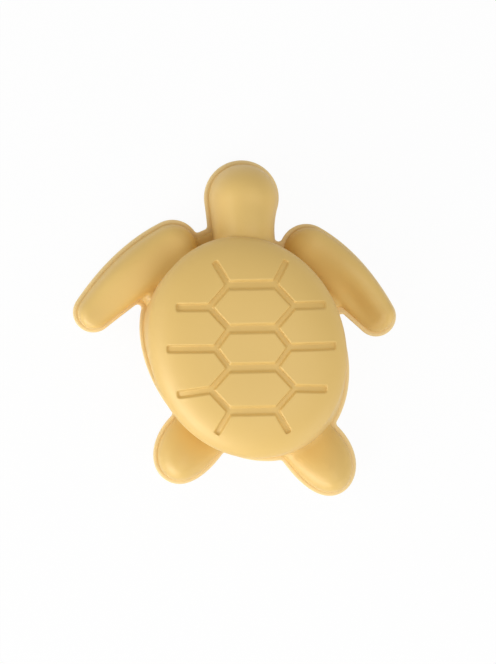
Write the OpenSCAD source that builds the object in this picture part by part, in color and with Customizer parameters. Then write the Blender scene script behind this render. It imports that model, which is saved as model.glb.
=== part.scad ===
// Turtle sand mould: one hollow shell, open underneath, with a flat rim all round its foot.
// The origin is under the middle of the outline, on the plane the rim rests on. +Y is towards the head.

/* [Shell] */
// Thickness of the moulded wall
wall = 2; // [1.2:0.1:2.6]
// Width of the flat rim outside the wall
rim_width = 1.5; // [0.8:0.1:4]
// Thickness of the rim
rim_height = 2; // [1:0.1:4]
// Radius of the rim in the corners between the carapace and its limbs
notch_radius = 1.5; // [0.5:0.1:3]

/* [Carapace] */
// Length of the carapace's foot along its long axis
foot_length = 88.6; // [80:0.2:100]
// Width of the carapace's foot
foot_width = 69.2; // [62:0.2:78]
// Lean of the foot's long axis to the left, in degrees
foot_lean = 35; // [0:1:45]
// Length of the carapace where its wall turns into its top
shoulder_length = 82.6; // [76:0.2:90]
// Width of the carapace where its wall turns into its top
shoulder_width = 71.4; // [64:0.2:76]
// Lean of the shoulder's long axis to the left, in degrees
shoulder_lean = 21; // [0:1:45]
// How far the shoulder sits left of the foot
shoulder_left = 1; // [-3:0.1:3]
// How far the shoulder sits ahead of the foot
shoulder_ahead = 1.6; // [-3:0.1:3]
// Height of the wall where it turns into the top
shoulder_height = 22; // [18:0.5:26]
// Height of the carapace
carapace_height = 36; // [32:0.5:44]

/* [Grooves] */
// Width of a groove half-way down
groove_width = 2.6; // [1.6:0.1:3.6]
// Radius of a groove's rounded corners
groove_corner = 0.6; // [0.2:0.1:0.7]
// Depth of a groove
groove_depth = 0.9; // [0.4:0.1:1.2]
// Length of the middle scute along the body
mid_scute_length = 14.1; // [11:0.1:16]
// Width of the middle scute between its side corners
mid_scute_width = 27; // [22:0.2:30]
// Length of the front and rear scutes along the body
end_scute_length = 15.6; // [12:0.1:18]
// Width of the front and rear scutes between their side corners
end_scute_width = 30.7; // [24:0.2:34]
// Length of the cross grooves between the scutes
bar_length = 16.5; // [12:0.1:20]
// Span of the middle pair of side grooves, end to end
mid_spoke_span = 60.2; // [50:0.2:62]
// Span of the front and rear pairs of side grooves, end to end
end_spoke_span = 53.2; // [44:0.2:56]
// Span of the corner grooves' outer ends
corner_spoke_span = 25.6; // [20:0.2:28]
// Length of the corner grooves along the body
corner_spoke_length = 8.1; // [5:0.1:9]
// Lean of the groove pattern to the left, in degrees
pattern_lean = 0.7; // [-5:0.1:5]

/* [Head] */
// Length from the neck's root to the middle of the head
head_length = 20.7; // [17:0.1:26]
// Turn of the head to the left, in degrees
head_turn = 1.4; // [-10:0.1:10]
// Bow of the neck to the left
head_bow = 0.9; // [0:0.1:2]
// Width of the neck at its root
neck_width = 22.7; // [19:0.1:26]
// Width of the neck at its waist
waist_width = 22.1; // [19:0.1:26]
// Width of the head
head_width = 24.9; // [21:0.1:30]
// Height of the neck at its root
neck_height = 25; // [20:0.5:28]
// Height of the neck at its waist
waist_height = 25; // [20:0.5:28]
// Height of the head at its middle
head_height = 23; // [18:0.5:28]

/* [Front flippers] */
// Length of the left front flipper from its root to the middle of its tip
front_left_length = 38.2; // [33:0.1:44]
// Sweep of the left front flipper behind the sideways line, in degrees
front_left_sweep = 39.4; // [32:0.2:46]
// Length of the right front flipper from its root to the middle of its tip
front_right_length = 36.3; // [32:0.1:42]
// Sweep of the right front flipper behind the sideways line, in degrees
front_right_sweep = 43.1; // [36:0.2:50]
// Forward bow of the front flippers
front_bow = 3; // [1:0.1:5]
// Width of the front flippers at the root
front_root_width = 17.1; // [14:0.1:20]
// Width of the front flippers half-way
front_mid_width = 16.6; // [14:0.1:19]
// Width of the front flippers at the tip
front_tip_width = 12; // [10:0.1:15]
// Height of the front flippers at the root
front_root_height = 13; // [10:0.5:17]
// Height of the front flippers half-way
front_mid_height = 14; // [10:0.5:17]
// Height of the front flippers at the tip
front_tip_height = 10; // [8:0.5:15]
// Width of the low neck that joins a front flipper to the carapace
front_join_width = 14; // [10:0.2:16]
// Height of the low neck that joins a front flipper to the carapace
front_join_height = 11; // [8:0.5:13]

/* [Hind flippers] */
// Length of the hind flippers from their root to the middle of their tip
hind_length = 22; // [18:0.1:27]
// Sweep of the left hind flipper behind the sideways line, in degrees
hind_left_sweep = 43.7; // [36:0.2:52]
// Sweep of the right hind flipper behind the sideways line, in degrees
hind_right_sweep = 45.6; // [38:0.2:54]
// Outward bow of the hind flippers
hind_bow = 3; // [1:0.1:5]
// Width of the hind flippers at the root
hind_root_width = 8; // [7:0.1:12]
// Width of the hind flippers half-way
hind_mid_width = 20.4; // [17:0.1:24]
// Width of the hind flippers at the tip
hind_tip_width = 16.4; // [14:0.1:20]
// Height of the hind flippers at the root
hind_root_height = 10; // [8:0.5:14]
// Height of the hind flippers half-way
hind_mid_height = 13; // [9:0.5:16]
// Height of the hind flippers at the tip
hind_tip_height = 11.5; // [8:0.5:15]

/* [Hidden] */

// Colour of the moulding, and of its rim
shell_colour = "#DEB974";
rim_colour = "#D2AB66";

// How far a cutting form runs past the face it cuts
overrun = 1;

// Squareness of the rounded sections: 2 is an ellipse, more is boxier
crown_power = 3;
head_power = 2.4;
flipper_power = 2.6;

// Steps of the rounded forms
round_steps = 72;
crown_steps = 7;
wall_steps = 2;
limb_stations = 9;
limb_cap_steps = 8;
limb_rise_steps = 6;
corner_steps = 16;
rim_steps = 48;

// Where each limb's root lies, as shares of the half width and half length of the carapace's foot
head_root_share = [-0.02, 0.796];
front_left_root_share = [-0.78, 0.853];
front_right_root_share = [0.67, 0.817];
hind_left_root_share = [-0.249, -0.587];
hind_right_root_share = [0.486, -0.693];

// Where each bow is widest, as a share of the limb's length
head_bow_share = 0.47;
front_bow_share = 0.43;
hind_bow_share = 0.585;

// Where a front flipper's join leaves its spine, as a share of its length,
// and how far the join runs towards the carapace's middle, as a share of that distance
front_join_share = 0.22;
front_reach_share = 0.4;

// Steepest widening of a limb that its sides follow, as a share of its run
steepest_share = 0.85;

// Middle of the groove pattern, as shares of the half width and half length of the shoulder
pattern_share = [0.02, 0.015];

function quadratic(a, b, c, t) = (1 - t) * (1 - t) * a + 2 * t * (1 - t) * b + t * t * c;
function through(v, t) = quadratic(v[0], 2 * v[1] - (v[0] + v[2]) / 2, v[2], t);
// Growth of half a width per unit of travel along the spine's control lines, at its start (f 0) or end (f 1)
function widening(v, f) =
    let (middle = 2 * v[1] - (v[0] + v[2]) / 2)
    (f == 0 ? middle - v[0] : v[2] - middle) / 2;
function heading(a) = [cos(a), sin(a)];
function leftward(d) = [-d.y, d.x];
function turned(p, a) = [p.x * cos(a) - p.y * sin(a), p.x * sin(a) + p.y * cos(a)];
function mix(a, b, f) = a + (b - a) * f;
function power(x, p) = pow(max(x, 0), p);

// A limb is [root, bend, tip, widths, heights, power]: its spine is bent once, towards bend
function limb(root_share, angle, length, bow, bow_share, widths, heights, section_power) =
    let (root = [root_share.x * foot_width / 2, root_share.y * foot_length / 2],
         d = heading(angle))
    [root, root + length * bow_share * d + bow * leftward(d), root + length * d,
     widths, heights, section_power];

front_widths = [front_root_width, front_mid_width, front_tip_width];
front_heights = [front_root_height, front_mid_height, front_tip_height];
hind_widths = [hind_root_width, hind_mid_width, hind_tip_width];
hind_heights = [hind_root_height, hind_mid_height, hind_tip_height];

head_limb = limb(head_root_share, 90 + head_turn, head_length, head_bow, head_bow_share,
                 [neck_width, waist_width, head_width],
                 [neck_height, waist_height, head_height], head_power);
front_left_limb = limb(front_left_root_share, 180 + front_left_sweep, front_left_length, -front_bow,
                       front_bow_share, front_widths, front_heights, flipper_power);
front_right_limb = limb(front_right_root_share, -front_right_sweep, front_right_length, front_bow,
                        front_bow_share, front_widths, front_heights, flipper_power);
hind_left_limb = limb(hind_left_root_share, 180 + hind_left_sweep, hind_length, -hind_bow,
                      hind_bow_share, hind_widths, hind_heights, flipper_power);
hind_right_limb = limb(hind_right_root_share, -hind_right_sweep, hind_length, hind_bow,
                       hind_bow_share, hind_widths, hind_heights, flipper_power);

// The low neck from a front flipper's spine into the carapace, in the form of a limb
function join_limb(l) =
    let (start = quadratic(l[0], l[1], l[2], front_join_share),
         w = front_join_width,
         h = front_join_height)
    [start * (1 - front_reach_share), start * (1 - front_reach_share / 2), start,
     [w, w, w], [h, h, h], flipper_power];
front_left_join = join_limb(front_left_limb);
front_right_join = join_limb(front_right_limb);

limbs = [head_limb, front_left_limb, front_right_limb, hind_left_limb, hind_right_limb,
         front_left_join, front_right_join];

// The carapace's middle, set so that the origin is under the middle of the outline
function tip_reach(l) = l[3][2] / 2 + rim_width;
carapace_place = -[front_left_limb[2].x - tip_reach(front_left_limb)
                   + front_right_limb[2].x + tip_reach(front_right_limb),
                   head_limb[2].y + tip_reach(head_limb)
                   + hind_right_limb[2].y - tip_reach(hind_right_limb)] / 2;

// Distance from an oval's middle to its edge, in the direction a
function oval_radius(length, width, lean, a) =
    let (b = a - 90 - lean)
    length * width / 2 / norm([width * cos(b), length * sin(b)]);
function foot_radius(a) = oval_radius(foot_length, foot_width, foot_lean, a);
function shoulder_radius(a) = oval_radius(shoulder_length, shoulder_width, shoulder_lean, a);
shoulder_place = [-shoulder_left, shoulder_ahead];

// One ring of the carapace, from the foot (f 0) to the shoulder (f 1)
function wall_ring(f, inset, z) =
    [for (i = [0 : round_steps - 1])
        let (a = 360 * i / round_steps,
             p = f * shoulder_place
                 + (mix(foot_radius(a), shoulder_radius(a), f) - inset) * heading(a))
        [p.x, p.y, z]];
// One ring of the carapace's rounded top, e degrees up from the shoulder
function crown_ring(e, inset) =
    let (z = shoulder_height + (carapace_height - inset - shoulder_height) * power(sin(e), 2 / crown_power))
    [for (i = [0 : round_steps - 1])
        let (a = 360 * i / round_steps,
             p = shoulder_place + (shoulder_radius(a) - inset) * power(cos(e), 2 / crown_power) * heading(a))
        [p.x, p.y, z]];

// The carapace as a solid, or its hollow when inset is the wall
module carapace_form(inset = 0) {
    rings = concat(
        [wall_ring(0, inset, inset > 0 ? -overrun : 0)],
        [for (k = [0 : wall_steps - 1])
            wall_ring(k / wall_steps, inset, mix(rim_height, shoulder_height, k / wall_steps))],
        [for (k = [0 : crown_steps - 1]) crown_ring(90 * k / crown_steps, inset)]);
    n = round_steps;
    last = len(rings) - 1;
    peak = len(rings) * n;
    points = concat([for (r = rings) each r],
                    [[shoulder_place.x, shoulder_place.y, carapace_height - inset]]);
    faces = concat(
        [for (k = [0 : last - 1], i = [0 : n - 1])
            let (a = k * n + i, b = k * n + (i + 1) % n)
            each [[a, b + n, b], [a, a + n, b + n]]],
        [for (i = [0 : n - 1]) [last * n + i, peak, last * n + (i + 1) % n]],
        [for (i = [1 : n - 2]) [0, i, i + 1]]);
    polyhedron(points, faces);
}

// The loop round a limb at a share of its half width, with its height at each point.
// It runs up the left side, round the tip, down the right side and round the root.
// Each side point leans by the angle at which the limb widens, so the sides run into the round ends.
function limb_loop(l, inset, side_share) =
    let (n = limb_stations,
         c = limb_cap_steps,
         spine = [for (i = [0 : n]) quadratic(l[0], l[1], l[2], i / n)],
         run = [for (i = [0 : n]) mix(l[1] - l[0], l[2] - l[1], i / n)],
         lean = [for (i = [0 : n])
             let (slope = mix(widening(l[3], 0), widening(l[3], 1), i / n) / norm(run[i]))
             asin(min(max(slope, -steepest_share), steepest_share))],
         side = [for (i = [0 : n]) leftward(run[i]) / norm(run[i])],
         half = [for (i = [0 : n]) (through(l[3], i / n) / 2 - inset) * side_share],
         high = [for (i = [0 : n]) through(l[4], i / n) - inset])
    concat(
        [for (i = [0 : n])
            concat(spine[i] + half[i] * turned(side[i], lean[i]), [high[i]])],
        [for (k = [1 : c - 1])
            concat(spine[n] + half[n] * turned(side[n], lean[n] - (180 + 2 * lean[n]) * k / c), [high[n]])],
        [for (i = [n : -1 : 0])
            concat(spine[i] - half[i] * turned(side[i], -lean[i]), [high[i]])],
        [for (k = [1 : c - 1])
            concat(spine[0] - half[0] * turned(side[0], -lean[0] - (180 - 2 * lean[0]) * k / c), [high[0]])]);

// A limb as a closed pillow, or its hollow when inset is the wall
module limb_form(l, inset = 0) {
    n = limb_stations;
    c = limb_cap_steps;
    size = 2 * (n + c);
    steps = limb_rise_steps;
    function level(e, high) = rim_height + (high - rim_height) * power(sin(e), 2 / l[5]);
    foot = [for (p = limb_loop(l, inset, 1)) [p.x, p.y, inset > 0 ? -overrun : 0]];
    sides = [for (k = [0 : steps - 1])
        let (e = 90 * k / steps)
        [for (p = limb_loop(l, inset, power(cos(e), 2 / l[5]))) [p.x, p.y, level(e, p.z)]]];
    ridge = [for (i = [0 : n])
        concat(quadratic(l[0], l[1], l[2], i / n), [through(l[4], i / n) - inset])];
    points = concat(foot, [for (s = sides) each s], ridge);
    top = (steps + 1) * size;
    // The ridge point above each point of the loop
    function above(j) = top + (j <= n ? j : j <= n + c ? n : j <= 2 * n + c ? 2 * n + c - j : 0);
    faces = concat(
        [for (k = [0 : steps - 1], j = [0 : size - 1])
            let (a = k * size + j, b = k * size + (j + 1) % size)
            each [[a, b, b + size], [a, b + size, a + size]]],
        [for (j = [0 : size - 1])
            let (a = steps * size + j, b = steps * size + (j + 1) % size, u = above(j), v = above((j + 1) % size))
            each u == v ? [[a, b, v]] : [[a, b, v], [a, v, u]]],
        [for (i = [0 : n - 1])
            let (r = 2 * n + c - i)
            each [[i, r, i + 1], [i + 1, r, r - 1]]],
        [for (k = [n + 1 : n + c - 1]) [n, k + 1, k]],
        [for (k = [2 * n + c : size - 2]) [0, k + 1, k]]);
    polyhedron(points, faces);
}

// The plan of one groove from a to b
module groove(a, b) {
    run = b - a;
    translate(a)
        rotate(atan2(run.y, run.x))
            translate([-groove_width / 2, -groove_width / 2])
                square([norm(run) + groove_width, groove_width]);
}

// The plan of all grooves: three scutes in a row down the body, with side grooves from their corners
module groove_plan() {
    mid = [pattern_share.x * shoulder_width / 2, pattern_share.y * shoulder_length / 2];
    function at(x, y) = shoulder_place + mid + turned([x, y], pattern_lean);
    bar = bar_length / 2;
    near = mid_scute_length / 2;
    far = near + end_scute_length;
    corner = near + end_scute_length / 2;
    for (y = [-far, -near, near, far])
        groove(at(-bar, y), at(bar, y));
    for (s = [-1, 1]) {
        for (e = [-1, 1]) {
            groove(at(s * bar, e * near), at(s * mid_scute_width / 2, 0));
            groove(at(s * bar, e * near), at(s * end_scute_width / 2, e * corner));
            groove(at(s * bar, e * far), at(s * end_scute_width / 2, e * corner));
            groove(at(s * end_scute_width / 2, e * corner), at(s * end_spoke_span / 2, e * corner));
            groove(at(s * bar, e * far), at(s * corner_spoke_span / 2, e * (far + corner_spoke_length)));
        }
        groove(at(s * mid_scute_width / 2, 0), at(s * mid_spoke_span / 2, 0));
    }
}

// The carapace's form with the grooves sunk into its top by their depth
module grooved_form(inset = 0) {
    difference() {
        carapace_form(inset);
        difference() {
            translate([0, 0, shoulder_height])
                linear_extrude(carapace_height - shoulder_height + overrun)
                    offset(r = groove_corner, $fn = corner_steps)
                        offset(delta = -groove_corner)
                            groove_plan();
            translate([0, 0, -groove_depth])
                carapace_form(inset);
        }
    }
}

// The outline of everything that stands inside the rim
module footprint() {
    polygon([for (p = wall_ring(0, 0, 0)) [p.x, p.y]]);
    for (l = limbs)
        polygon([for (p = limb_loop(l, 0, 1)) [p.x, p.y]]);
}

// The shell of a limb, or of a limb and its join, butted against the carapace's outside
module limb_shell(forms) {
    difference() {
        union() {
            for (l = forms)
                limb_form(l);
        }
        for (l = forms)
            limb_form(l, wall);
        carapace_form();
    }
}

module carapace() {
    color(shell_colour) translate(carapace_place)
        difference() {
            grooved_form();
            grooved_form(wall);
            for (l = limbs)
                limb_form(l, wall);
        }
}

module head() {
    color(shell_colour) translate(carapace_place) limb_shell([head_limb]);
}

module front_left_flipper() {
    color(shell_colour) translate(carapace_place) limb_shell([front_left_limb, front_left_join]);
}

module front_right_flipper() {
    color(shell_colour) translate(carapace_place) limb_shell([front_right_limb, front_right_join]);
}

module hind_left_flipper() {
    color(shell_colour) translate(carapace_place) limb_shell([hind_left_limb]);
}

module hind_right_flipper() {
    color(shell_colour) translate(carapace_place) limb_shell([hind_right_limb]);
}

module rim() {
    color(rim_colour) translate(carapace_place)
        linear_extrude(rim_height)
            difference() {
                offset(r = -notch_radius, $fn = rim_steps)
                    offset(r = notch_radius + rim_width, $fn = rim_steps)
                        footprint();
                footprint();
            }
}

carapace();
head();
front_left_flipper();
front_right_flipper();
hind_left_flipper();
hind_right_flipper();
rim();
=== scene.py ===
import bmesh
import bpy
import numpy as np
from mathutils import Matrix, Vector
from mathutils.geometry import delaunay_2d_cdt


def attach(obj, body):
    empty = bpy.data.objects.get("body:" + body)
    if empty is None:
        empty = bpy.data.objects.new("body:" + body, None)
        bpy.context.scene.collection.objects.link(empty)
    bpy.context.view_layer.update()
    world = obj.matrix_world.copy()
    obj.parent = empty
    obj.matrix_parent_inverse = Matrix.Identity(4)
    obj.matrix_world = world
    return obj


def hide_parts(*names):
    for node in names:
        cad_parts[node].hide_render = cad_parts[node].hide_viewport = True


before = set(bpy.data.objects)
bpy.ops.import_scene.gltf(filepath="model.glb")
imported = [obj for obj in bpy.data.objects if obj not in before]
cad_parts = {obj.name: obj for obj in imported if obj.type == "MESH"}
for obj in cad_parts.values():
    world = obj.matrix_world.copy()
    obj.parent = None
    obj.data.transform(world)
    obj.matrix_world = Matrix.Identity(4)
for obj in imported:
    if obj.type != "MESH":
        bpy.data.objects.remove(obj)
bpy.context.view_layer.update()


# Carapace: the tall oval shell of the turtle, with three scutes and their side lines sunk into its top.
# It is the middle of one soft sand-yellow moulding about 2 mm thick, hollow and open underneath.
# The soft wall leans over its foot, so foot and shoulder are two ovals turned by different angles.
WALL = 2.0
RIM_HEIGHT = 2.0
CARAPACE_PLACE = np.array([3.464, -6.872])
# Each oval has a length, a width, a lean to the left in degrees, and the slack of its wall
FOOT = (88.6, 69.2, 35.0, 4.5)
SHOULDER = (82.6, 71.4, 21.0, 0.4)
SLACK_SIDE = np.radians(120)
SLACK_FADE = 8
SHOULDER_PLACE = np.array([-1.0, 1.6])
SHOULDER_HEIGHT = 22.0
CARAPACE_HEIGHT = 36.0
CROWN_POWER = 3.0
SHOULDER_TURN = 18.0
AROUND = 320
UP_THE_WALL = 12
OVER_THE_SHOULDER = 10


def oval_radius(oval, a):
    # The soft wall hangs in a little at its front left side: the slack
    length, width, lean, slack = oval
    b = a - np.radians(90 + lean)
    sag = slack * np.maximum(np.cos(a - SLACK_SIDE), 0) ** SLACK_FADE
    return length * width / 2 / np.hypot(width * np.cos(b), length * np.sin(b)) - sag


def oval_ring(middle, r, z):
    a = np.linspace(0, 2 * np.pi, AROUND, endpoint=False)
    return np.stack([middle[0] + r * np.cos(a), middle[1] + r * np.sin(a), np.full(AROUND, z)], 1)


def wall_ring(f, inset, z):
    a = np.linspace(0, 2 * np.pi, AROUND, endpoint=False)
    r = oval_radius(FOOT, a) * (1 - f) + oval_radius(SHOULDER, a) * f - inset
    return oval_ring(CARAPACE_PLACE + f * SHOULDER_PLACE, r, z)


def crown_ring(e, inset):
    a = np.linspace(0, 2 * np.pi, AROUND, endpoint=False)
    r = (oval_radius(SHOULDER, a) - inset) * np.cos(e) ** (2 / CROWN_POWER)
    rise = (CARAPACE_HEIGHT - inset - SHOULDER_HEIGHT) * np.sin(e) ** (2 / CROWN_POWER)
    return oval_ring(CARAPACE_PLACE + SHOULDER_PLACE, r, SHOULDER_HEIGHT + rise)


def wall_rings(inset, low):
    # From the foot up the wall and a little way over the shoulder
    rings = [wall_ring(0, inset, low)]
    for f in np.linspace(0, 1, UP_THE_WALL)[:-1]:
        rings.append(wall_ring(f, inset, RIM_HEIGHT + f * (SHOULDER_HEIGHT - RIM_HEIGHT)))
    for e in np.radians(np.linspace(0, SHOULDER_TURN, OVER_THE_SHOULDER)):
        rings.append(crown_ring(e, inset))
    return rings


def ring_faces(n, rows):
    # Faces between closed rings of n points, each ring above the last
    faces = []
    for k in range(rows - 1):
        for i in range(n):
            j = (i + 1) % n
            faces.append((k * n + i, k * n + j, (k + 1) * n + j, (k + 1) * n + i))
    return faces


def crown_height(p, inset):
    q = p - CARAPACE_PLACE - SHOULDER_PLACE
    edge = oval_radius(SHOULDER, np.arctan2(q[..., 1], q[..., 0])) - inset
    share = np.hypot(q[..., 0], q[..., 1]) / edge
    lift = np.maximum(1 - share ** CROWN_POWER, 0) ** (1 / CROWN_POWER)
    return SHOULDER_HEIGHT + (CARAPACE_HEIGHT - inset - SHOULDER_HEIGHT) * lift


def carapace_gap(p):
    # How far a point stands outside the carapace's wall
    q = p[..., :2] - CARAPACE_PLACE
    f = np.clip((p[..., 2] - RIM_HEIGHT) / (SHOULDER_HEIGHT - RIM_HEIGHT), 0, 1)
    q = q - f[..., None] * SHOULDER_PLACE
    a = np.arctan2(q[..., 1], q[..., 0])
    r = oval_radius(FOOT, a) * (1 - f) + oval_radius(SHOULDER, a) * f
    up = np.maximum(p[..., 2] - SHOULDER_HEIGHT, 0) / (CARAPACE_HEIGHT - SHOULDER_HEIGHT)
    out = np.hypot(q[..., 0], q[..., 1]) / r
    return r * ((out ** CROWN_POWER + up ** CROWN_POWER) ** (1 / CROWN_POWER) - 1)


# The grooves slope from their mouth to their floor; both are shares of a groove's own breadth
GROOVE_DEPTH = 1.2
GROOVE_MOUTH = 1.8
GROOVE_FLOOR = 0.8
PATTERN_PLACE = CARAPACE_PLACE + np.array([-0.29, 2.22])
PATTERN_LEAN = np.radians(0.7)
BAR_END = 8.25
NEAR_BAR, FAR_BAR = 7.05, 22.65
MID_SIDE, END_SIDE = 13.5, 15.35
END_CORNER = 14.85
MID_REACH, END_REACH = 29.2, 25.7
TAIL_SPREAD, TAIL_RUN = 12.5, 7.4
BAR_BREADTH, SLANT_BREADTH, SIDE_BREADTH = 1.15, 0.8, 0.95
# The soft shell lets the rear side lines droop a little
LEFT_DROOP, RIGHT_DROOP = 1.5, 0.6

groove_lines = []
for y in (-FAR_BAR, -NEAR_BAR, NEAR_BAR, FAR_BAR):
    groove_lines.append(((-BAR_END, y), (BAR_END, y), BAR_BREADTH))
for s in (-1, 1):
    rear_droop = LEFT_DROOP if s < 0 else RIGHT_DROOP
    for e in (-1, 1):
        droop = rear_droop if e < 0 else 0
        near, far = (s * BAR_END, e * NEAR_BAR), (s * BAR_END, e * FAR_BAR)
        corner = (s * END_SIDE, e * END_CORNER)
        groove_lines += [
            (near, (s * MID_SIDE, 0), SLANT_BREADTH),
            (near, corner, SLANT_BREADTH),
            (far, corner, SLANT_BREADTH),
            (corner, (s * END_REACH, e * END_CORNER - droop), SIDE_BREADTH),
            (far, (s * TAIL_SPREAD, e * (FAR_BAR + TAIL_RUN)), SLANT_BREADTH),
        ]
    groove_lines.append(((s * MID_SIDE, 0), (s * MID_REACH, 0), SIDE_BREADTH))


def groove_gap(p):
    # Distance from the middle line of the nearest groove, with squarish rounded ends
    q = p - PATTERN_PLACE
    c, s = np.cos(PATTERN_LEAN), np.sin(PATTERN_LEAN)
    q = np.stack([q[..., 0] * c + q[..., 1] * s, q[..., 1] * c - q[..., 0] * s], -1)
    best = np.full(q.shape[:-1], 1e3)
    for a, b, breadth in groove_lines:
        a, b = np.array(a), np.array(b)
        run = np.linalg.norm(b - a)
        d = (b - a) / run
        along = (q - a) @ d
        past = np.maximum(np.abs(along - run / 2) - run / 2, 0)
        across = np.abs((q - a) @ np.array([-d[1], d[0]]))
        best = np.minimum(best, (past ** 4 + across ** 4) ** 0.25 / breadth)
    return best


def groove_sink(gap):
    t = np.clip((GROOVE_MOUTH - gap) / (GROOVE_MOUTH - GROOVE_FLOOR), 0, 1)
    return GROOVE_DEPTH * t * t * (3 - 2 * t)


def even_loop(points, spacing):
    # The same closed line with its points evenly spaced
    points = np.array(points + points[:1])
    run = np.concatenate([[0], np.cumsum(np.linalg.norm(np.diff(points, axis=0), axis=1))])
    at = np.linspace(0, run[-1], max(int(run[-1] / spacing), 8), endpoint=False)
    return np.stack([np.interp(at, run, points[:, 0]), np.interp(at, run, points[:, 1])], 1)


LIP_GRID = 0.25
LIP_SPACING = 0.36
LIP_GUARD = 0.25
SLOPE_LINES = 5


def groove_contours():
    # Points and edges along the lips, slopes and floors of the grooves, line by line
    x = np.arange(-32, 32, LIP_GRID) + PATTERN_PLACE[0]
    y = np.arange(-34, 34, LIP_GRID) + PATTERN_PLACE[1]
    grid = np.stack(np.meshgrid(x, y, indexing="ij"), -1)
    gap = groove_gap(grid)
    points, edges = [], []
    slopes = np.linspace(GROOVE_FLOOR, GROOVE_MOUTH, SLOPE_LINES)
    for level in (GROOVE_FLOOR - LIP_GUARD, *slopes, GROOVE_MOUTH + LIP_GUARD):
        within = gap < level
        low = within[:-1, :-1]
        mixed = (low != within[1:, :-1]) | (low != within[:-1, 1:]) | (low != within[1:, 1:])
        spot, beside = {}, {}
        for i, j in np.argwhere(mixed):
            ring = ((i, j), (i + 1, j), (i + 1, j + 1), (i, j + 1))
            found = []
            for m, n in zip(ring, ring[1:] + ring[:1]):
                if within[m] != within[n]:
                    key = (min(m, n), max(m, n))
                    t = (level - gap[m]) / (gap[n] - gap[m])
                    spot[key] = grid[m] + t * (grid[n] - grid[m])
                    found.append(key)
            for one, two in zip(found[::2], found[1::2]):
                beside.setdefault(one, []).append(two)
                beside.setdefault(two, []).append(one)
        while beside:
            key = next(iter(beside))
            loop = []
            while key in beside:
                loop.append(spot[key])
                onward = [k for k in beside.pop(key) if k in beside]
                key = onward[0] if onward else None
            loop = even_loop(loop, LIP_SPACING)
            first = len(points)
            points += list(loop)
            edges += [(first + k, first + (k + 1) % len(loop)) for k in range(len(loop))]
    return np.array(points), edges


def top_fill(inset):
    # Evenly spread points over the top, clear of its edge and of the groove slopes
    gx, gy = np.meshgrid(np.arange(-40, 40, 1.5), np.arange(-42, 42, 1.3), indexing="ij")
    gx = gx + 0.75 * (np.arange(gy.shape[1]) % 2)
    fill = np.stack([gx.ravel(), gy.ravel()], 1) + CARAPACE_PLACE + SHOULDER_PLACE
    q = fill - CARAPACE_PLACE - SHOULDER_PLACE
    turned_in = np.cos(np.radians(SHOULDER_TURN)) ** (2 / CROWN_POWER)
    reach = (oval_radius(SHOULDER, np.arctan2(q[:, 1], q[:, 0])) - inset) * turned_in
    gap = groove_gap(fill)
    clear = (gap > GROOVE_MOUTH + 0.8) | (gap < 0.4)
    return fill[(np.hypot(q[:, 0], q[:, 1]) < reach - 0.8) & clear]


def carapace_skin(inset, low):
    # The wall and its shoulder, then a grooved top: points and faces of one skin
    rings = wall_rings(inset, low)
    n, rows = AROUND, len(rings)
    faces = ring_faces(n, rows)
    lips, lip_edges = groove_contours()
    flat = np.concatenate([rings[-1][:, :2], lips, top_fill(inset)])
    loop = [(i, (i + 1) % n) for i in range(n)]
    lip_edges = [(a + n, b + n) for a, b in lip_edges]
    cut = delaunay_2d_cdt([Vector(p) for p in flat], loop + lip_edges, [], 0, 1e-6)
    spots = np.array(cut[0])
    top = np.column_stack([spots, crown_height(spots, inset) - groove_sink(groove_gap(spots))])
    index, extra = {}, []
    for k, origins in enumerate(cut[3]):
        ring = [o for o in origins if o < n]
        if ring:
            index[k] = (rows - 1) * n + ring[0]
        else:
            index[k] = rows * n + len(extra)
            extra.append(top[k])
    for f in cut[2]:
        a, b, c = spots[list(f)]
        turn = (b[0] - a[0]) * (c[1] - a[1]) - (b[1] - a[1]) * (c[0] - a[0])
        ids = [index[i] for i in f]
        faces.append(tuple(ids) if turn > 0 else tuple(reversed(ids)))
    return np.concatenate(rings + [np.array(extra)]), faces


def new_piece(name, points, faces):
    mesh = bpy.data.meshes.new(name)
    mesh.from_pydata([tuple(p) for p in np.asarray(points) / 1000], [], faces)
    bm = bmesh.new()
    bm.from_mesh(mesh)
    bmesh.ops.remove_doubles(bm, verts=bm.verts, dist=2e-7)
    bmesh.ops.recalc_face_normals(bm, faces=bm.faces)
    bm.to_mesh(mesh)
    bm.free()
    piece = bpy.data.objects.new(name, mesh)
    bpy.context.scene.collection.objects.link(piece)
    return piece


def carapace_plug():
    # The carapace's outer form as a solid, to trim the limbs against
    rings = wall_rings(0, -1.0)
    n, rows = AROUND, len(rings)
    ends = [tuple(reversed(range(n))), tuple(range((rows - 1) * n, rows * n))]
    return new_piece("plug", np.concatenate(rings), ring_faces(n, rows) + ends)


def applied(piece):
    # The piece with its modifiers worked into its mesh
    graph = bpy.context.evaluated_depsgraph_get()
    mesh = bpy.data.meshes.new_from_object(piece.evaluated_get(graph))
    piece.modifiers.clear()
    piece.data = mesh


def carved(piece, other, way):
    # The piece after it is joined with another form, or has it cut away
    cut = piece.modifiers.new("cut", "BOOLEAN")
    cut.object = other
    cut.operation = way
    cut.solver = "EXACT"
    applied(piece)
    bpy.data.objects.remove(other)


# The moulding's finish is satin, with a very fine even grain and faint clouding in the colour
SAND, SAND_PALE = (0.750, 0.502, 0.157, 1), (0.775, 0.522, 0.169, 1)


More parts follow.
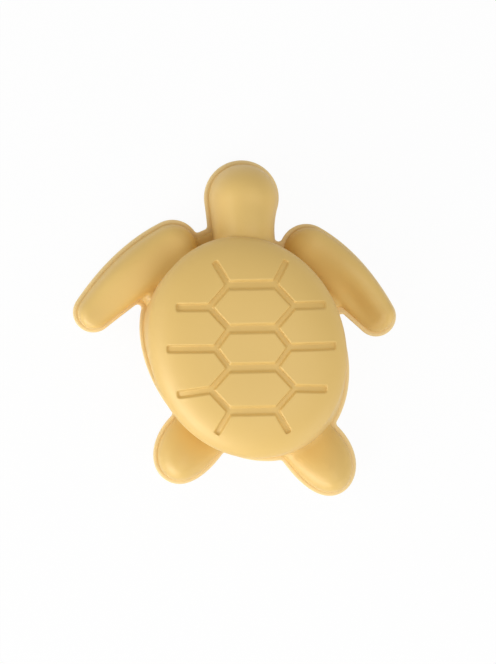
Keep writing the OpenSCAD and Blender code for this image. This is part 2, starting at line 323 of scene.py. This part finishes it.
def satin_moulding(name, deep, pale):
    mat = bpy.data.materials.new(name)
    mat.use_nodes = True
    nodes, links = mat.node_tree.nodes, mat.node_tree.links
    skin = nodes["Principled BSDF"]
    skin.inputs["Specular IOR Level"].default_value = 0.4
    skin.inputs["IOR"].default_value = 1.41
    skin.inputs["Sheen Weight"].default_value = 0.08
    skin.inputs["Sheen Roughness"].default_value = 0.4
    place = nodes.new("ShaderNodeTexCoord")
    cloud = nodes.new("ShaderNodeTexNoise")
    cloud.inputs["Scale"].default_value = 26
    cloud.inputs["Detail"].default_value = 3
    tint = nodes.new("ShaderNodeValToRGB")
    tint.color_ramp.elements[0].position = 0.3
    tint.color_ramp.elements[0].color = deep
    tint.color_ramp.elements[1].position = 0.7
    tint.color_ramp.elements[1].color = pale
    grain = nodes.new("ShaderNodeTexNoise")
    grain.inputs["Scale"].default_value = 2600
    grain.inputs["Detail"].default_value = 2
    rough = nodes.new("ShaderNodeMapRange")
    rough.inputs["To Min"].default_value = 0.42
    rough.inputs["To Max"].default_value = 0.5
    bump = nodes.new("ShaderNodeBump")
    bump.inputs["Strength"].default_value = 0.12
    bump.inputs["Distance"].default_value = 0.00008
    links.new(place.outputs["Object"], cloud.inputs["Vector"])
    links.new(place.outputs["Object"], grain.inputs["Vector"])
    links.new(cloud.outputs["Fac"], tint.inputs["Fac"])
    links.new(tint.outputs["Color"], skin.inputs["Base Color"])
    links.new(grain.outputs["Fac"], rough.inputs["Value"])
    links.new(rough.outputs["Result"], skin.inputs["Roughness"])
    links.new(grain.outputs["Fac"], bump.inputs["Height"])
    links.new(bump.outputs["Normal"], skin.inputs["Normal"])
    return mat


def finished(piece, skin, crease):
    # One finish all over, shaded smooth but for edges sharper than the crease, in degrees
    piece.data.materials.clear()
    piece.data.materials.append(skin)
    piece.data.shade_smooth()
    piece.data.set_sharp_from_angle(angle=np.radians(crease))


outside, outside_faces = carapace_skin(0, 0)
inside, inside_faces = carapace_skin(WALL, 0)
shift = len(outside)
foot_edge = [(i, shift + i, shift + (i + 1) % AROUND, (i + 1) % AROUND) for i in range(AROUND)]
turned_over = [tuple(shift + i for i in reversed(f)) for f in inside_faces]
carapace_faces = outside_faces + turned_over + foot_edge
carapace = new_piece("carapace_shell", np.concatenate([outside, inside]), carapace_faces)
shell_skin = satin_moulding("sand_satin_shell", SAND, SAND_PALE)
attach(carapace, "root")
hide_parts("carapace")


# Head: head and neck in one rounded hollow of the same soft plastic, wider at the head than at the neck.
# It is moulded on to the carapace's front wall, with a soft fillet in the crease.
STATIONS, CAP, RISE = 40, 20, 22
LEAN_SPAN = 10
DENT_FADE = 5


def direction(degrees):
    return np.array([np.cos(np.radians(degrees)), np.sin(np.radians(degrees))])


def quadratic(a, b, c, t):
    return (1 - t) ** 2 * a + 2 * t * (1 - t) * b + t * t * c


def through(v, t):
    return quadratic(v[0], 2 * v[1] - (v[0] + v[2]) / 2, v[2], t)


def limb(
    root, angle, length, widths, heights,
    bow=0, bow_share=0.5, power=2.6, tilt=0, lean=(0, 0), dent=None,
):
    # A bowed limb by its widths and heights at root, middle and tip
    root = np.array(root)
    d = direction(angle)
    bend = root + length * bow_share * d + bow * np.array([-d[1], d[0]])
    tip = root + length * d
    form = dict(root=root, bend=bend, tip=tip, widths=widths, heights=heights)
    return dict(form, power=power, tilt=tilt, lean=np.array(lean), dent=dent)


def limb_loop(form, inset):
    # Middle, side direction, half width and height at each point of the loop round a limb
    t = np.linspace(0, 1, STATIONS + 1)[:, None]
    spine = quadratic(form["root"], form["bend"], form["tip"], t)
    run = (form["bend"] - form["root"]) * (1 - t) + (form["tip"] - form["bend"]) * t
    w = form["widths"]
    middle = 2 * w[1] - (w[0] + w[2]) / 2
    growth = (middle - w[0]) * (1 - t[:, 0]) + (w[2] - middle) * t[:, 0]
    flare = np.arcsin(np.clip(growth / 2 / np.linalg.norm(run, axis=1), -0.85, 0.85))
    facing = np.arctan2(run[:, 1], run[:, 0])
    half = through(w, t[:, 0]) / 2 - inset
    high = through(form["heights"], (t * t * (3 - 2 * t))[:, 0]) - inset
    lead = form["tilt"] * np.stack([-np.sin(facing), np.cos(facing)], 1)
    k = np.arange(1, CAP) / CAP
    up, down = np.arange(STATIONS + 1), np.arange(STATIONS, -1, -1)
    turn = np.concatenate([
        facing + np.pi / 2 + flare,
        facing[-1] + np.pi / 2 + flare[-1] - (np.pi + 2 * flare[-1]) * k,
        (facing - np.pi / 2 - flare)[down],
        facing[0] - np.pi / 2 - flare[0] - (np.pi - 2 * flare[0]) * k,
    ])
    at = np.concatenate([up, np.full(CAP - 1, STATIONS), down, np.zeros(CAP - 1, int)])
    side = np.stack([np.cos(turn), np.sin(turn)], 1)
    return spine[at], side, np.sum(side * lead[at], 1), half[at], high[at]


def leaned_and_dented(form, row):
    # The soft wall leans with height, and may have a shallow thumb-shaped hollow in its top
    lift = np.maximum(row[:, 2] - RIM_HEIGHT, 0)
    row[:, :2] += form["lean"] * lift[:, None] / LEAN_SPAN
    if form["dent"]:
        place, angle, along, across, depth = form["dent"]
        d = direction(angle)
        q = row[:, :2] - place
        far = (q @ d / along) ** 2 + (q @ np.array([-d[1], d[0]]) / across) ** 2
        row[:, 2] -= depth * np.exp(-far) * np.clip(lift / DENT_FADE, 0, 1)


def limb_rows(form, inset, low, fillet):
    spine, side, tilt, half, high = limb_loop(form, inset)
    n = 2 / form["power"]
    turns = np.radians(np.linspace(0, 90, RISE + 1))
    shrinks = [*np.cos(turns[:-1]) ** n, 0.0]
    lifts = [*np.sin(turns[:-1]) ** n, 1.0]
    rows = [np.column_stack([spine + side * half[:, None], np.full(len(half), low)])]
    for c, s in zip(shrinks, lifts):
        rise = RIM_HEIGHT + (high - RIM_HEIGHT) * s * (1 + tilt * c)
        rows.append(np.column_stack([spine + side * (half * c)[:, None], rise]))
    for row in rows:
        leaned_and_dented(form, row)
    if not fillet:
        return rows
    # Near the carapace the skin flares out into a soft fillet
    for k, row in enumerate(rows):
        e = np.radians(90 * max(k - 1, 0) / RISE)
        flat = np.cos(e) ** (2 - n) / np.maximum(half, 1)
        rise = np.sin(e) ** (2 - n) / np.maximum(high - RIM_HEIGHT, 1)
        out = np.column_stack([side * flat[:, None], rise])
        out /= np.linalg.norm(out, axis=1)[:, None]
        near = np.clip(1 - carapace_gap(row) / fillet, 0, 1)
        rows[k] = row + out * (fillet * (1 - np.sqrt(1 - near ** 2)))[:, None]
    return rows


def limb_solid(form, inset, low, fillet=0):
    rows = limb_rows(form, inset, low, fillet)
    n = len(rows[0])
    return new_piece("form", np.concatenate(rows), ring_faces(n, len(rows)) + [tuple(range(n))])


# Blocks start well under the foot and are cut flat there; the hollows reach a little below it
BLOCK_LOW, HOLLOW_LOW = -4, -1
SKIN_CELL = 0.0005
SKIN_ROUNDS = 14
LIMB_CREASE, CARAPACE_CREASE = 40, 50


def softened(piece):
    # One even skin over joined forms, with their creases relaxed, cut flat at the foot
    even = piece.modifiers.new("even", "REMESH")
    even.mode = "VOXEL"
    even.voxel_size = SKIN_CELL
    applied(piece)
    bm = bmesh.new()
    bm.from_mesh(piece.data)
    every_way = dict(use_axis_x=True, use_axis_y=True, use_axis_z=True)
    for _ in range(SKIN_ROUNDS):
        bmesh.ops.smooth_vert(bm, verts=bm.verts, factor=0.5, **every_way)
    everything = bm.verts[:] + bm.edges[:] + bm.faces[:]
    floor = dict(plane_co=(0, 0, 0), plane_no=(0, 0, 1), clear_inner=True)
    cut = bmesh.ops.bisect_plane(bm, geom=everything, **floor)
    foot = [e for e in cut["geom_cut"] if isinstance(e, bmesh.types.BMEdge)]
    bmesh.ops.edgenet_fill(bm, edges=foot)
    bmesh.ops.recalc_face_normals(bm, faces=bm.faces)
    bm.to_mesh(piece.data)
    bm.free()


def limb_block(name, forms, webs, fillet):
    # The outer form of a limb and its webs, still solid
    piece = limb_solid(forms[0], 0, BLOCK_LOW, fillet)
    piece.name = name
    for form in forms[1:] + webs:
        carved(piece, limb_solid(form, 0, BLOCK_LOW), "UNION")
    softened(piece)
    return piece


def hollowed(piece, forms):
    # The limb as a shell, with a doorway from it into the carapace
    for form in forms:
        carved(piece, limb_solid(form, WALL, HOLLOW_LOW), "DIFFERENCE")
        carved(carapace, limb_solid(form, WALL, HOLLOW_LOW), "DIFFERENCE")
    carved(piece, carapace_plug(), "DIFFERENCE")
    finished(piece, shell_skin, LIMB_CREASE)
    finished(carapace, shell_skin, CARAPACE_CREASE)


def on_foot(x_share, y_share):
    return CARAPACE_PLACE + np.array([x_share * FOOT[1] / 2, y_share * FOOT[0] / 2])


HEAD_FILLET = 0.9
head_form = limb(
    on_foot(-0.02, 0.796), angle=91.4, length=20.7, bow=0.9, bow_share=0.47,
    widths=(22.7, 22.1, 24.9), heights=(23, 24.5, 23.5), power=2.7, lean=(0.5, 0),
)
head = limb_block("head_shell", [head_form], [], HEAD_FILLET)
hollowed(head, [head_form])
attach(head, "root")
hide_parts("head")


# Front flippers: two long swept paddles, thickest half-way, each joined to the carapace by a low neck.
# They are hollow in one with the body and lie flat on the rim, with solid webs of plastic in the armpits.
# The soft wall has settled differently on each side: the right one leans out and is dented along its top.
FRONT_WIDTHS, FRONT_HEIGHTS = (17.1, 16.6, 12.0), (11.5, 13, 11)
NECK_WIDTH, NECK_HEIGHT = 14, 4.5
NECK_START = 0.22
FLIPPER_FILLET = 0.7
POCKET_CLEARANCE = 1.4


def joining_neck(form):
    start = quadratic(form["root"], form["bend"], form["tip"], NECK_START) - CARAPACE_PLACE
    points = [CARAPACE_PLACE + start * share for share in (0.6, 0.8, 1.0)]
    neck = dict(form, root=points[0], bend=points[1], tip=points[2], power=2.6, tilt=0, dent=None)
    return dict(neck, widths=(NECK_WIDTH,) * 3, heights=(NECK_HEIGHT,) * 3)


left_form = limb(
    on_foot(-0.78, 0.853), angle=219.4, length=38.2, bow=-3, bow_share=0.43,
    widths=FRONT_WIDTHS, heights=FRONT_HEIGHTS, power=4.0, tilt=-0.05, lean=(0.8, -0.6),
)
left_web = limb(
    left_form["bend"] + (2.8, -4.2), angle=-50.6, length=11, widths=(9, 9, 9), heights=(11, 10, 10.5)
)
left_pocket = limb((-14.5, 31.0), angle=24, length=8, widths=(6, 6, 6), heights=(2.6, 2.6, 2.6))
left_forms = [left_form, joining_neck(left_form)]
left_paddle = limb_block("front_left_paddle", left_forms, [left_web, left_pocket], FLIPPER_FILLET)
carved(left_paddle, limb_solid(head_form, 0, HOLLOW_LOW, POCKET_CLEARANCE), "DIFFERENCE")
hollowed(left_paddle, left_forms)
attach(left_paddle, "root")
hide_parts("front_left_flipper")

# The dent has a place, an angle, a length, a breadth and a depth
right_form = limb(
    on_foot(0.67, 0.817), angle=-43.1, length=36.3, bow=3, bow_share=0.43,
    widths=FRONT_WIDTHS, heights=FRONT_HEIGHTS, power=2.2, tilt=0.25, lean=(1.6, 1.6),
    dent=((44.6, 10.6), -46, 10, 3.2, 3.2),
)
right_web = limb(
    right_form["bend"] + (3.2, -2.4), angle=222, length=11, widths=(9.2, 9.2, 9.2), heights=(5, 5, 5)
)
right_forms = [right_form, joining_neck(right_form)]
right_paddle = limb_block("front_right_paddle", right_forms, [right_web], FLIPPER_FILLET)
hollowed(right_paddle, right_forms)
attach(right_paddle, "root")
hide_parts("front_right_flipper")


# Hind flippers: two short rounded paddles behind the body, narrow and low where they come out of the wall.
# They are hollow in one with the body, of the same soft plastic, and lie flat on the rim.
HIND_HEIGHTS = (4, 9, 12)
hind_left = limb(
    on_foot(-0.241, -0.526), angle=228.3, length=24.1, bow=-1.8, bow_share=0.71,
    widths=(13.1, 21.0, 16.5), heights=HIND_HEIGHTS,
)
hind_right = limb(
    on_foot(0.446, -0.634), angle=-48.3, length=25.3, bow=2.6, bow_share=0.75,
    widths=(14.4, 21.6, 15.6), heights=HIND_HEIGHTS,
)
for side, form in (("left", hind_left), ("right", hind_right)):
    paddle = limb_block("hind_" + side + "_paddle", [form], [], FLIPPER_FILLET)
    hollowed(paddle, [form])
    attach(paddle, "root")
    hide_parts("hind_" + side + "_flipper")


# Rim: the thin flat edge that the whole moulding stands on, of the same plastic, with a rounded outer lip.
# It follows the outline of body and limbs, with small rounds in the corners between them.
RIM_WIDTH = 1.5
NOTCH = 1.5
RIM_CREASE = 50
# The rim's sand is the shell's sand made paler. This is painted light: it stands in for the light that the
# thin lip catches, and both ends of its faint clouding are lifted.
PAINTED_LIGHT_RIM_SAND, PAINTED_LIGHT_RIM_SAND_PALE = (0.87, 0.66, 0.31, 1), (0.89, 0.68, 0.33, 1)
necks = [joining_neck(left_form), joining_neck(right_form), left_web, left_pocket, right_web]
limb_discs = []
for form in [head_form, left_form, right_form, hind_left, hind_right] + necks:
    t = np.linspace(0, 1, 81)[:, None]
    spine = quadratic(form["root"], form["bend"], form["tip"], t)
    limb_discs.append((spine, through(form["widths"], t[:, 0]) / 2))


def foot_gap(p):
    # Distance outside the foot of the moulding
    gaps = [np.min(np.hypot(*(p - c).T) - r) for c, r in limb_discs]
    return min(gaps + [carapace_gap(np.array([p[0], p[1], 0.0]))])


def walk_round(gap, level, step):
    # Points and outward directions along the line where a gap has one value, from ahead of the head
    def facing(p):
        d = 0.02
        g = (gap(p + (d, 0)) - gap(p - (d, 0)), gap(p + (0, d)) - gap(p - (0, d)))
        return np.array(g) / (2 * d)

    spot = head_form["tip"] + np.array([0, 14.0])
    spots, facings = [], []
    for k in range(4000):
        for _ in range(4):
            g = facing(spot)
            spot = spot - (gap(spot) - level) * g / max(g @ g, 0.3)
        g = facing(spot)
        g = g / np.linalg.norm(g)
        if k > 20 and np.linalg.norm(spot - spots[0]) < step:
            break
        spots.append(spot)
        facings.append(g)
        spot = spot + step * np.array([-g[1], g[0]])
    return np.array(spots), np.array(facings)


far_line = walk_round(foot_gap, RIM_WIDTH + NOTCH, 0.3)[0]


def rim_gap(p):
    # The same distance with every inner corner of the outline rounded
    return RIM_WIDTH + NOTCH - np.min(np.hypot(*(far_line - p).T))


# The rim's inner edge is tucked into the wall, as far back from the outline as that takes
outline, facings = walk_round(rim_gap, RIM_WIDTH, 0.4)
n = len(outline)
tuck = np.full(n, RIM_WIDTH)
for k in range(n):
    while tuck[k] < 14 and foot_gap(outline[k] - tuck[k] * facings[k]) > -0.7:
        tuck[k] += 0.1

# Section of the lip: steps back from the outline, and heights
lip = [
    (tuck, 0.4), (1.45, 0.0), (0.35, 0.0), (0.1, 0.12), (0, 0.4), (0, 1.5),
    (0.1, 1.82), (0.32, 1.98), (0.9, 2.0), (1.35, 1.92), (tuck, 1.6),
]
loops = []
for back, z in lip:
    depth = np.broadcast_to(back, n)
    loops.append(np.column_stack([outline - facings * depth[:, None], np.full(n, z)]))
rim_faces = ring_faces(n, len(loops))
last = (len(loops) - 1) * n
rim_faces += [(last + i, last + (i + 1) % n, (i + 1) % n, i) for i in range(n)]
rim = new_piece("flat_rim", np.concatenate(loops), rim_faces)
# The rim's finish uses that paler sand, which is painted light on the lip.
finished(rim, satin_moulding("sand_satin_rim_painted_light", PAINTED_LIGHT_RIM_SAND, PAINTED_LIGHT_RIM_SAND_PALE), RIM_CREASE)
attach(rim, "root")
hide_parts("rim")


# Studio: a plain white table under the toy, in a white room, seen from almost straight above.
# Soft windows stand low at the tail's left, at the left and at the right, and one hangs high.
# A low strip at the tail's left only makes the gleam on the satin skin.
table_mesh = bpy.data.meshes.new("table")
table_mesh.from_pydata([(-3, -3, 0), (3, -3, 0), (3, 3, 0), (-3, 3, 0)], [], [(0, 1, 2, 3)])
table = bpy.data.objects.new("table", table_mesh)
bpy.context.scene.collection.objects.link(table)
white = bpy.data.materials.new("white_table")
white.use_nodes = True
tree = white.node_tree
table_skin = tree.nodes["Principled BSDF"]
table_skin.inputs["Base Color"].default_value = (0.9, 0.9, 0.9, 1)
table_skin.inputs["Roughness"].default_value = 0.9
glow = tree.nodes.new("ShaderNodeEmission")
glow.inputs["Strength"].default_value = 1.0
seen = tree.nodes.new("ShaderNodeLightPath")
share = tree.nodes.new("ShaderNodeMath")
share.operation = "MULTIPLY"
share.inputs[1].default_value = 0.93
blend = tree.nodes.new("ShaderNodeMixShader")
tree.links.new(seen.outputs["Is Camera Ray"], share.inputs[0])
tree.links.new(share.outputs[0], blend.inputs["Fac"])
tree.links.new(table_skin.outputs["BSDF"], blend.inputs[1])
tree.links.new(glow.outputs["Emission"], blend.inputs[2])
tree.links.new(blend.outputs["Shader"], tree.nodes["Material Output"].inputs["Surface"])
table_mesh.materials.append(white)

room = bpy.data.worlds.new("white_room")
bpy.context.scene.world = room
room.use_nodes = True
room.node_tree.nodes["Background"].inputs["Color"].default_value = (1, 1, 1, 1)
room.node_tree.nodes["Background"].inputs["Strength"].default_value = 0.55


def soft_lamp(name, place, breadth, height, watts):
    lamp = bpy.data.lights.new(name, "AREA")
    lamp.shape = "RECTANGLE"
    lamp.size = breadth
    lamp.size_y = height
    lamp.energy = watts
    stand = bpy.data.objects.new(name, lamp)
    bpy.context.scene.collection.objects.link(stand)
    stand.location = place
    toy = Vector((0, 0, 0.01))
    stand.rotation_euler = (toy - stand.location).to_track_quat("-Z", "Y").to_euler()
    return stand


soft_lamp("tail_window", (-0.66, -0.66, 0.34), 0.5, 0.5, 3.4)
soft_lamp("left_window", (-0.94, 0.0, 0.34), 0.5, 0.5, 1.6)
soft_lamp("high_window", (0.22, -0.22, 0.95), 0.5, 0.5, 2.4)
soft_lamp("low_right_window", (0.69, -0.69, 0.21), 0.5, 0.4, 1.6)
gleam = soft_lamp("low_gleam_strip", (-0.47, -0.52, 0.28), 0.8, 0.55, 7.5)
gleam.visible_diffuse = False

CAMERA_AWAY = 0.8
eye = bpy.data.cameras.new("photo_camera")
eye.lens = 115.7
eye.sensor_width = 36
eye.clip_end = 20
camera = bpy.data.objects.new("photo_camera", eye)
bpy.context.scene.collection.objects.link(camera)
aim = Vector((0.00484, -0.00109, 0))
back = Vector((-np.tan(np.radians(5.4)), np.tan(np.radians(3.6)), 1)).normalized()
camera.location = aim + CAMERA_AWAY * back
across = Vector((0, 1, 0)).cross(back).normalized()
upward = back.cross(across)
camera.rotation_euler = Matrix((across, upward, back)).transposed().to_euler()
bpy.context.scene.camera = camera
bpy.context.scene.view_settings.view_transform = "Standard"
